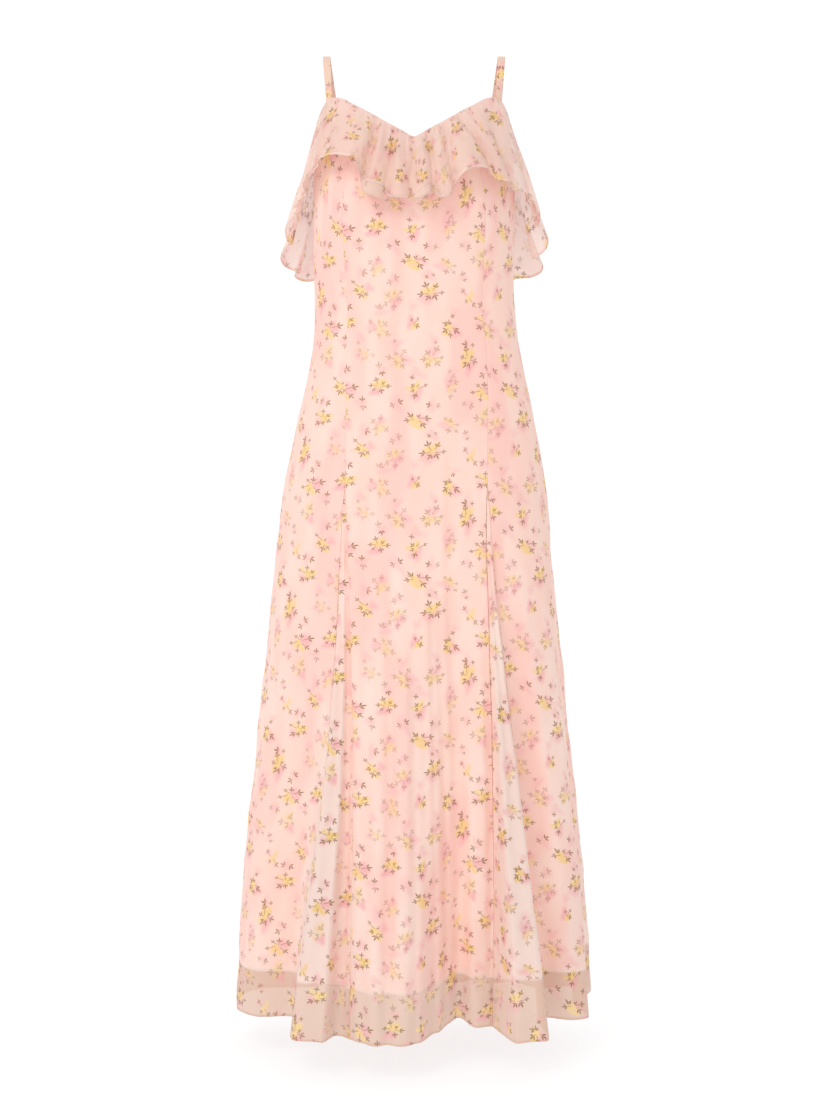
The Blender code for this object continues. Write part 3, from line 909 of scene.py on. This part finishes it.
def lining_cloth(name):
    """Plain pink lining, opaque, with a fine grain."""
    dye = Dye(name)
    weave = dye.node("ShaderNodeUVMap", {"uv_map": "weave"})
    slow = dye.noise(weave, SLOW_SCALE)
    grain = dye.noise(weave, GRAIN_SCALE)
    hem = dye.parts(dye.attribute("marks"))[2]
    stitch = dye.inside((hem - LINING_STITCH).maths("ABSOLUTE"), 0.5, 0.3)
    tone = dye.mix(dye.step(slow, 0.3, 0.7) * 0.4, LINING_PINK, PEACH)
    height = grain * 0.5 - stitch
    bump = dye.node("ShaderNodeBump", inputs={"Strength": 0.3, "Distance": GRAIN_DEPTH, "Height": height})
    return dye.finish(
        Base_Color=tone,
        Roughness=0.66,
        Normal=bump,
        Sheen_Weight=0.1,
        Specular_IOR_Level=0.3,
    )


CHIFFON = chiffon("printed chiffon", SHEER)
FLOUNCE_CHIFFON = chiffon("printed chiffon, loose", SHEER_FLOUNCE)
STRAP_CHIFFON = chiffon("printed chiffon, folded", 1.0)
LINING = lining_cloth("pink lining")
print("chiffon nodes:", len(CHIFFON.node_tree.nodes))

# %% [markdown]
# ## The panels
# Front, side fronts, godets and backs are patches of the same surface, cut along the seam lines. A
# chiffon seam is pulled in a little and puckers, because the thread is tighter than the cloth, so every
# seam has a fine groove with small ripples across it.

# %% Where the lines of the grid go
ROW = 0.0042
COLUMN = 1.05
NEAR_HEM = np.array([0.0060, 0.0045, 0.0030, 0.0020, 0.0010, 0.0])
NEAR_SEAM = np.array([0.0, 0.25, 0.6, 1.1])
ABOVE_YOKE = 38
GROOVE_DEPTH = 0.0005
GROOVE_IN_BODICE = 0.2
GROOVE_WIDTH = 0.0016
GROOVE_STARTS = -0.42
GROOVE_GROWS = 0.15
PUCKER_SIZE = 0.00032
PUCKER_REACH = 0.006
PUCKER_LENGTH = 0.0115
PUCKER_DRIFTS = ((2.5, 41), (1.5, 97))
AIR = 0.014
AIRY_SHARE = 0.3
HOLLOW_SHADE_DEPTH = 0.045
CREASE_SHADE_DEPTH = 0.008
LIGHT_UNDER = 0.25
HEM_EASE = 0.008


def grid_places(first, last, hem, whole, angle_of=yoke_angle):
    """Places round and heights for a panel's grid: even, but closer at the seams and at the hem."""
    even = np.linspace(first, last, round((last - first) / COLUMN))
    inside = even[(even > first + NEAR_SEAM[-1]) & (even < last - NEAR_SEAM[-1])]
    round_it = np.concatenate([first + NEAR_SEAM, inside, (last - NEAR_SEAM)[::-1]])
    top = YOKE if whole else GODET_MEET
    even = np.linspace(top, hem + NEAR_HEM[0], round((top - hem) / ROW), endpoint=False)
    height = np.tile(np.concatenate([even, hem + NEAR_HEM]), (len(round_it), 1))
    if whole:
        edge = top_edge(angle_of(round_it))[:, None]
        above = edge + (YOKE - edge) * np.linspace(0, 1, ABOVE_YOKE, endpoint=False)
        height = np.concatenate([above, height], axis=1)
    return np.tile(round_it[:, None], (1, height.shape[1])), height


def seam_distance(points):
    """Metres along each row from the nearer of its two ends."""
    along = walked(points)
    return np.minimum(along, along[-1] - along)


def seam_relief(distance, height):
    """A bell-shaped groove along the seam, and ripples across it that fade with distance."""
    skirt = smooth_step((GROOVE_STARTS - height) / GROOVE_GROWS)
    depth = GROOVE_DEPTH * (GROOVE_IN_BODICE + (1 - GROOVE_IN_BODICE) * skirt)
    groove = -depth * np.exp(-((distance / GROOVE_WIDTH) ** 2))
    phase = 2 * np.pi * height / PUCKER_LENGTH
    for drift, turns in PUCKER_DRIFTS:
        phase = phase + drift * np.sin(height * turns)
    size = PUCKER_SIZE * (0.6 + 0.4 * np.sin(height * 29 + 1))
    return groove + size * np.exp(-distance / PUCKER_REACH) * np.sin(phase)


def nearness_and_shading(around, height, moved):
    """How near the lining is: 1 where it touches, fading with the air between, and 0 below its hem. It
    goes over 1 in hollows, which is painted shade. Where there is air, light comes in from below it."""
    flute = fold("out", around, height)
    air = np.maximum(flute - fold("lining", around, height), 0) + curve(LINING_GAP, "gap", height)
    # Painted shade: flute hollows and crease troughs raise the mark over 1.
    deep = np.clip(-flute / HOLLOW_SHADE_DEPTH, 0, 1) + np.clip(-moved / CREASE_SHADE_DEPTH, 0, 0.5)
    lined = smooth_step((height - LINING_HEM - LIGHT_UNDER * air) / HEM_EASE)
    return lined * (AIRY_SHARE + (1 - AIRY_SHARE) * np.exp(-air / AIR) * (1 + 0.8 * deep))


def sheet_size(flat):
    """The cut of a piece laid flat, in metres: its width, its length and its area."""
    width, length = np.ptp(flat[..., 0]), np.ptp(flat[..., 1])
    run = np.abs(np.diff(flat[..., 0], axis=0)[:, :-1])
    drop = np.diff(flat[..., 1], axis=1)[:-1]
    return width / 1000, length / 1000, float((run * drop).sum()) / 1e6


def sewn(name, grids, folds, node, material, slot, held, rests_on, cut_from, curved=1.0):
    """Makes a piece of cloth from its grids: the points, the cloth laid flat, and the marks.

    The edges named are turned in. The piece takes the place of its node, and its cut is printed.
    """
    width, length, area = sheet_size(grids[1])
    area *= curved
    for axis in folds:
        grids = turned_in(grids, axis)
    piece = cloth_mesh(name, *grids, cut_from)
    piece.data.materials.append(material)
    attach(piece, "root")
    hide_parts(node)
    print(f"{name}: cut {width:.3f} by {length:.3f} m, {area:.3f} m2, {len(piece.data.polygons)} faces")
    return piece


# %% Outer panels
STRAPS = ["strap_left", "strap_right"]
PANELS = (
    ("front_panel", -31.0, 40.0, True, (14, 30)),
    ("side_front_right", -92.0, -56.0, True, (88, 120)),
    ("side_front_left", 62.0, 92.0, True, (31, 77)),
    ("godet_right", -56.0, -31.0, False, (120, 52)),
    ("godet_left", 40.0, 62.0, False, (66, 9)),
    ("back_left", 92.0, 180.0, True, (150, 160)),
    ("back_right", 180.0, 268.0, True, (44, 99)),
)


def outer_panel(name, first, last, whole, cut_from):
    """A panel between two seams: the dress's surface with creases, and relief at its seams."""
    around, height = grid_places(first, last, HEM, whole)
    moved = creases(around, height)
    points = cloth_point(around, height, inset=-moved)
    distance = seam_distance(points)
    points = points + faces_outward(points) * seam_relief(distance, height)[..., None]
    flat = laid_flat(points)
    from_hem = (height - HEM) * 1000
    marks = np.stack([nearness_and_shading(around, height, moved), distance * 1000, from_hem], axis=-1)
    made = (name + "_chiffon", (points, flat, marks), (DOWN, ROUND), name)
    return sewn(*made, CHIFFON, "chiffon", "hung", STRAPS, cut_from)


for row in PANELS:
    outer_panel(*row)

# %% [markdown]
# ## The lining
# The lining is plain, has no godets, and stops a little above the hem. It keeps close inside the chiffon
# on the bodice, fills the flutes less, and follows the chiffon's creases, because the two layers cling.

# %% Lining
TOP_CLOSE = 0.0008
TOP_CLOSE_REACH = 0.03


def lining_panel(name, first, last):
    """The dress's surface inside the chiffon, by a gap that closes towards the top edge."""
    angle, height = grid_places(first, last, LINING_HEM, True, np.positive)
    around = in_proportion(angle, seam_lines(height), HEM_LINES)
    below_edge = top_edge(angle) - height
    gap = OUTER_CLOTH + curve(LINING_GAP, "gap", height) - TOP_CLOSE
    inset = TOP_CLOSE + gap * smooth_step(below_edge / TOP_CLOSE_REACH)
    points = cloth_point(around, height, "lining", inset - creases(around, height))
    flat = laid_flat(points)
    distance = seam_distance(points)
    marks = np.stack([np.ones_like(height), distance * 1000, (height - LINING_HEM) * 1000], axis=-1)
    made = (name + "_cloth", (points, flat, marks), (DOWN,), name)
    return sewn(*made, LINING, "lining", "hung", STRAPS, (0, 0))


lining_panel("lining_front", -SIDE_SEAM, SIDE_SEAM)
lining_panel("lining_back", SIDE_SEAM, 360 - SIDE_SEAM)

# %% [markdown]
# ## The flounce
# The flounce is a strip longer than the edge that it is gathered onto, so it hangs in waves. A plain wave
# only moves in and out. Real fullness also spreads sideways, so a crest is wider than its neck, like a
# letter omega. That is made by sliding each point along the edge, away from the crest's middle. Gathers
# crowd the seam and die away below it, and in front the wind of wear has turned parts of the hem up.

# %% The flounce's crests and hollows
EDGE_SAMPLES = 2881
FLOUNCE_STEP = 0.0021
FLOUNCE_DOWN = 44
FLOUNCE_EVEN = 0.955
FLOUNCE_HEM = (0.972, 0.982, 0.991, 1.0)
FLOUNCE_STAND = 0.0013
FLOUNCE_REST = 0.0010
OMEGA = 0.34
OMEGA_FRONT = 0.22
OMEGA_FROM = 0.10
OMEGA_EASE = 0.06
GATHER_SIZE = 0.0009
GATHER_LENGTH = 0.0066
GATHER_REACH = 0.022
GATHER_DRIFT = 2.2
FLUTTER = 0.0016
FLOUNCE_CURVED = 0.72
PRINT_LINE = -8
SIDES_FROM = 0.11
SIDES_EASE = 0.05
NEAR_FRONT = 0.14
SIDE_PAINTED_LIGHT = 0.13
NEAR_EDGE = 0.08
NEAR_EASE = 0.05
GATHERS = table("""
along slant length width depth
-0.118 -0.004 0.05 0.0035 0.002
-0.07 0.006 0.03 0.0026 -0.0024
-0.047 0.004 0.066 0.0024 -0.0046
-0.039 0.004 0.048 0.002 0.003
-0.031 0.002 0.056 0.0016 -0.0026
-0.021 0.005 0.082 0.0022 -0.0054
-0.014 0.004 0.06 0.0018 0.0028
-0.004 0.003 0.044 0.0018 -0.0026
0.008 0.005 0.072 0.0022 -0.0046
0.018 0.006 0.046 0.002 0.0034
0.029 0.008 0.066 0.0021 -0.005
0.043 0.008 0.04 0.0022 0.0028
0.056 0.01 0.066 0.0023 -0.0046
0.07 0.013 0.044 0.0022 0.0038
0.08 0.021 0.08 0.0024 -0.0066
0.091 0.018 0.066 0.0026 0.0038
0.118 0.004 0.05 0.0036 0.002
""")
TURN_UP = table("""
along length
-0.06 0
-0.049 0.016
-0.036 0.027
-0.022 0.022
-0.008 0.002
0.008 0.004
0.022 0.017
0.036 0.015
0.05 0
""")
TURN_UP_BEND = 0.0042
TURN_UP_FULL = 0.008
BINDING = table("""
stand rise
-0.002 -0.007
-0.0021 -0.003
-0.0019 -0.0006
-0.0008 0.0006
0.0004 0.0005
""")


def edge_distance():
    """Metres along the top edge from the centre front, for even steps through two turns of the dress."""
    around = np.linspace(-180, 540, EDGE_SAMPLES)
    distance = walked(cloth_point(around, top_edge(yoke_angle(around))))
    return around, distance - np.interp(0, around, distance)


EDGE_AROUND, EDGE_ALONG = edge_distance()
EDGE_LENGTH = float(np.interp(360, EDGE_AROUND, EDGE_ALONG))


def flounce_rows(half):
    """Every crest and hollow of the flounce: the front's own rows, then even waves round to the back."""
    parts = [FLOUNCE_FRONT]
    for side, end in ((-1, 0), (1, -1)):
        start = abs(FLOUNCE_FRONT["along"][end])
        count = 2 * round((half - start) / FLOUNCE_WAVE / 2) + 1
        number = np.arange(1, count + (side > 0))
        along = start + (half - start) * number / count
        at, *sizes = FLOUNCE_SIDE.values()
        drop, crest, hollow = (np.interp(along, at, size) for size in sizes)
        parts.append({"along": side * along, "drop": drop, "out": np.where(number % 2 == 1, crest, hollow)})
    joined = {name: np.concatenate([part[name] for part in parts]) for name in FLOUNCE_FRONT}
    order = np.argsort(joined["along"])
    return {name: values[order] for name, values in joined.items()}


FLOUNCE = flounce_rows(EDGE_LENGTH / 2)
print(f"top edge {EDGE_LENGTH:.3f} m, {len(FLOUNCE['along'])} crests and hollows")


# %% The flounce's surface
def gathers(along, down, drop):
    """Small even gathers that fade below the seam, and the larger ones listed one by one."""
    below = down * drop
    wave = np.sin(2 * np.pi * along / GATHER_LENGTH + GATHER_DRIFT * np.sin(along * 47))
    size = GATHER_SIZE * (0.55 + 0.45 * np.sin(along * 31 + 1))
    moved = size * (1 + wave) * np.exp(-below / GATHER_REACH) * smooth_step(below / 0.004)
    for place, slant, length, width, depth in rows(GATHERS):
        share = below / length
        off = along - place - slant * share
        fade = smooth_step(below / 0.006) * smooth_step((1.15 - share) / 0.6)
        moved += depth * fade * np.exp(-((off / (width * (1 + share))) ** 2))
    return moved


def turned_up(lap, down, drop):
    """How far below the edge and how far ahead a share of the flounce's own length lies.

    It hangs straight down. Where its hem is flipped up, the last of its length goes round a half
    circle and back up in front. The whole length is the drop and what is turned up.
    """
    length = np.maximum(curve(TURN_UP, "length", lap), 0)
    bend = TURN_UP_BEND * smooth_step(length / TURN_UP_FULL) + TINY
    run = drop + length
    past = down * run - (drop - bend)
    angle = np.clip(past / bend, 0, np.pi)
    back_up = np.maximum(past - np.pi * bend, 0)
    below = np.minimum(down * run, drop - bend) + bend * np.sin(angle) - back_up
    return below, bend * (1 - np.cos(angle)), run


def flounce_point(along, down):
    """The flounce hangs from the top edge, outside the bodice, and opens towards its hem.

    Between two rows of the table its drop and its distance out are eased. Each point also slides
    along the edge by a sine of its share of the way, outwards from the nearest crest.
    """
    lap = wrapped(along, EDGE_LENGTH)
    turn = np.concatenate([FLOUNCE["along"] + EDGE_LENGTH * lap_number for lap_number in (-1, 0, 1)])
    drop, out = (np.tile(FLOUNCE[name], 3) for name in ("drop", "out"))
    row = np.clip(np.searchsorted(turn, lap, side="right") - 1, 0, len(turn) - 2)
    share = (lap - turn[row]) / (turn[row + 1] - turn[row])
    rising = np.sign(out[row + 1] - out[row])
    ease = smooth_step(share)
    drop = (1 - ease) * drop[row] + ease * drop[row + 1]
    out = (1 - ease) * out[row] + ease * out[row + 1]
    below, ahead, run = turned_up(lap, down, drop)
    hung = np.clip(below / drop, 0, 1)
    side = smooth_step((np.abs(lap) - OMEGA_FROM) / OMEGA_EASE)
    omega = (OMEGA_FRONT + (OMEGA - OMEGA_FRONT) * side) * (turn[row + 1] - turn[row])
    slide = -rising * omega * np.sin(np.pi * share) * hung
    around = np.interp(along + slide, EDGE_ALONG, EDGE_AROUND)
    flutter = FLUTTER * np.sin(lap * 167 + 0.8) * np.sin(lap * 61)
    height = top_edge(yoke_angle(around)) - below - flutter * hung
    stand = FLOUNCE_STAND + out * hung**FLOUNCE_OPENING + ahead + gathers(lap, hung, drop)
    return cloth_point(around, height, inset=-np.maximum(stand, FLOUNCE_REST)), run


def flounce_piece(name, first, last, cut_from):
    """One length of the flounce, with its top edge rolled over the bodice's and its hem turned in."""
    start, end = np.interp((first, last), EDGE_AROUND, EDGE_ALONG)
    round_it = np.linspace(start, end, round((end - start) / FLOUNCE_STEP))
    down = np.concatenate([np.linspace(0, FLOUNCE_EVEN, FLOUNCE_DOWN), FLOUNCE_HEM])
    along, down = np.meshgrid(round_it, down, indexing="ij")
    points, run = flounce_point(along, down)
    around = np.interp(along[:, :1], EDGE_ALONG, EDGE_AROUND)
    edge = top_edge(yoke_angle(around))
    place, height, stand = np.broadcast_arrays(around, edge, BINDING["stand"])
    rolled = cloth_point(place, height, inset=-stand)
    rolled[..., 2] += BINDING["rise"]
    points = np.concatenate([rolled, points], axis=1)
    flat = laid_flat(points)
    flat[..., 0] = walked(points[:, PRINT_LINE])[:, None] * 1000
    below = np.concatenate([np.zeros_like(place), down * run], axis=1)
    at_side = smooth_step((np.abs(wrapped(along[:, :1], EDGE_LENGTH)) - SIDES_FROM) / SIDES_EASE)
    # The sides get a higher mark, which paints them paler: painted light standing in for light through the
    # cloth.
    near_and_shading = NEAR_FRONT + SIDE_PAINTED_LIGHT * at_side + NEAR_EDGE * np.exp(-below / NEAR_EASE)
    marks = np.stack([near_and_shading, np.full_like(near_and_shading, FAR), (run[:, :1] - below) * 1000], axis=-1)
    made = (name + "_chiffon", (points, flat, marks), (DOWN,), name)
    return sewn(*made, FLOUNCE_CHIFFON, "chiffon", "gathered", STRAPS, cut_from, FLOUNCE_CURVED)


flounce_piece("flounce_front", -FLOUNCE_SEAM, FLOUNCE_SEAM, (20, 12))
flounce_piece("flounce_back", FLOUNCE_SEAM, 360 - FLOUNCE_SEAM, (90, 70))

# %% [markdown]
# ## Straps
# A strap is a folded strip of the same chiffon, sewn flat: a flat oval carried along a smooth line over
# the shoulder. A curve with a bevel would also do, but the oval has to turn as it goes, so that it lies
# on the shoulder and along both edges.

# %% Straps
STRAP_WIDTH = 0.0105
STRAP_THICK = 0.0016
STRAP_SAMPLES = 140
STRAP_SIDES = 28
STRAP_SINK = 0.006
STRAP_SQUARE = 0.55
STRAP_NEAR = 0.05
STRAP_FOLD = 0.2


def edge_end(angle):
    """Where a strap stands on the top edge, a little below it, and the way the edge runs there."""
    place = np.array([angle])
    height = np.interp(place, TOP_EDGE["around"], TOP_EDGE["height"])
    along = body_point(place + NUDGE, height)[0] - body_point(place - NUDGE, height)[0]
    return body_point(place, height)[0] - np.array([0, 0, STRAP_SINK]), unit(along)


def strap_piece(name, side, cut_from):
    """A flat oval profile carried along the strap's line, its width turned as the table says."""
    front, front_way = edge_end(STRAP_FRONT)
    back, back_way = edge_end(STRAP_BACK)
    middle = np.stack([STRAP["x"], STRAP["y"], STRAP["height"]], axis=-1)
    way = np.stack([STRAP["across"], STRAP["ahead"], np.zeros_like(STRAP["across"])], axis=-1)
    last = len(STRAP["step"]) + 1
    line = {"step": np.concatenate([[0], STRAP["step"], [last]])}
    for axis, values, ends in (("xyz", middle, (front, back)), ("uvw", way, (front_way, -back_way))):
        for number, letter in enumerate(axis):
            line[letter] = np.concatenate([[ends[0][number]], values[:, number], [ends[1][number]]])
    at = np.linspace(0, last, STRAP_SAMPLES)
    path = np.stack([curve(line, letter, at) for letter in "xyz"], axis=-1)
    across = np.stack([curve(line, letter, at) for letter in "uvw"], axis=-1)
    ahead = unit(np.gradient(path, axis=0))
    across = unit(across - ahead * np.sum(across * ahead, axis=-1, keepdims=True))
    outward = np.cross(across, ahead)
    turn = np.linspace(0, 2 * np.pi, STRAP_SIDES + 1)[:, None, None]
    wide = np.sign(np.cos(turn)) * np.abs(np.cos(turn)) ** STRAP_SQUARE * STRAP_WIDTH / 2
    thick = np.sin(turn) * STRAP_THICK / 2
    points = path + across * wide + outward * thick
    if side < 0:
        points = (points * [-1, 1, 1])[::-1]
    flat = laid_flat(points)
    flat[..., 1] = walked(path) * 1000
    edge = (STRAP_WIDTH / 2 - np.abs(wide[..., 0])) * 1000
    near_and_shading = np.full_like(flat[..., 0], STRAP_NEAR)
    marks = np.stack(np.broadcast_arrays(near_and_shading, edge + STRAP_FOLD, FAR), axis=-1)
    made = (name + "_chiffon", (points, flat, marks), (), name)
    return sewn(*made, STRAP_CHIFFON, "chiffon", "stretched", [], cut_from)


strap_piece("strap_right", -1, (52, -2))
strap_piece("strap_left", 1, (42, 7))

# %% [markdown]
# ## Studio
# The photograph is a cut-out on white under soft light from the front left. A pale floor that curves up
# into a pale wall and glows a little gives that ground without a line. A soft lamp makes the shade on the
# right of each fold, a weak one lights the sheer cloth from behind, and an even pale sky fills the rest.

# %% Floor, wall and light
FLOOR = -1.405
WALL = 3.2
BEND = 1.6
SIDE = 9.0
PAPER = (0.24, 0.24, 0.24, 1.0)
PAPER_GLOW = 0.8

turn = np.linspace(0, np.pi / 2, 24)
run = np.concatenate([[-7.0], WALL + BEND * np.sin(turn), [WALL + BEND]])
rise = np.concatenate([[0.0], BEND - BEND * np.cos(turn), [7.0]]) + FLOOR
across, run = np.meshgrid([-SIDE, SIDE], run, indexing="ij")
points = np.stack([across, run, np.broadcast_to(rise, run.shape)], axis=-1)
number = np.arange(points[..., 0].size).reshape(run.shape)
quads = np.stack([number[:-1, :-1], number[1:, :-1], number[1:, 1:], number[:-1, 1:]], -1).reshape(-1, 4)
mesh = bpy.data.meshes.new("studio")
mesh.from_pydata(points.reshape(-1, 3).tolist(), [], quads.tolist())
mesh.shade_smooth()
studio = put_in("studio", mesh)
paper = Dye("pale paper")
glow = {"Emission_Color": (1, 1, 1, 1), "Emission_Strength": PAPER_GLOW}
mesh.materials.append(paper.finish(Base_Color=PAPER, Roughness=0.95, Specular_IOR_Level=0.1, **glow))
paper.material.cycles.emission_sampling = "NONE"

SKY = 0.8
LAMPS = (
    ("key", (-1.15, -2.25, 1.45), (0.0, 0.0, -0.3), 1.3, 29.0),
    ("back", (0.4, 2.9, 1.9), (0.0, 0.0, -0.6), 2.4, 10.0),
)


def lamp(name, place, aim, size, power):
    """A square soft lamp that points from its place to its aim."""
    data = bpy.data.lights.new(name, "AREA")
    data.size = size
    data.energy = power
    light = put_in(name, data)
    light.location = place
    light.rotation_euler = (Vector(place) - Vector(aim)).to_track_quat("Z", "Y").to_euler()


for row in LAMPS:
    lamp(*row)
world = bpy.data.worlds.new("sky")
world.use_nodes = True
world.node_tree.nodes["Background"].inputs["Color"].default_value = (1, 1, 1, 1)
world.node_tree.nodes["Background"].inputs["Strength"].default_value = SKY
world.cycles.sampling_method = "NONE"
bpy.context.scene.world = world
bpy.context.scene.view_settings.view_transform = "Standard"
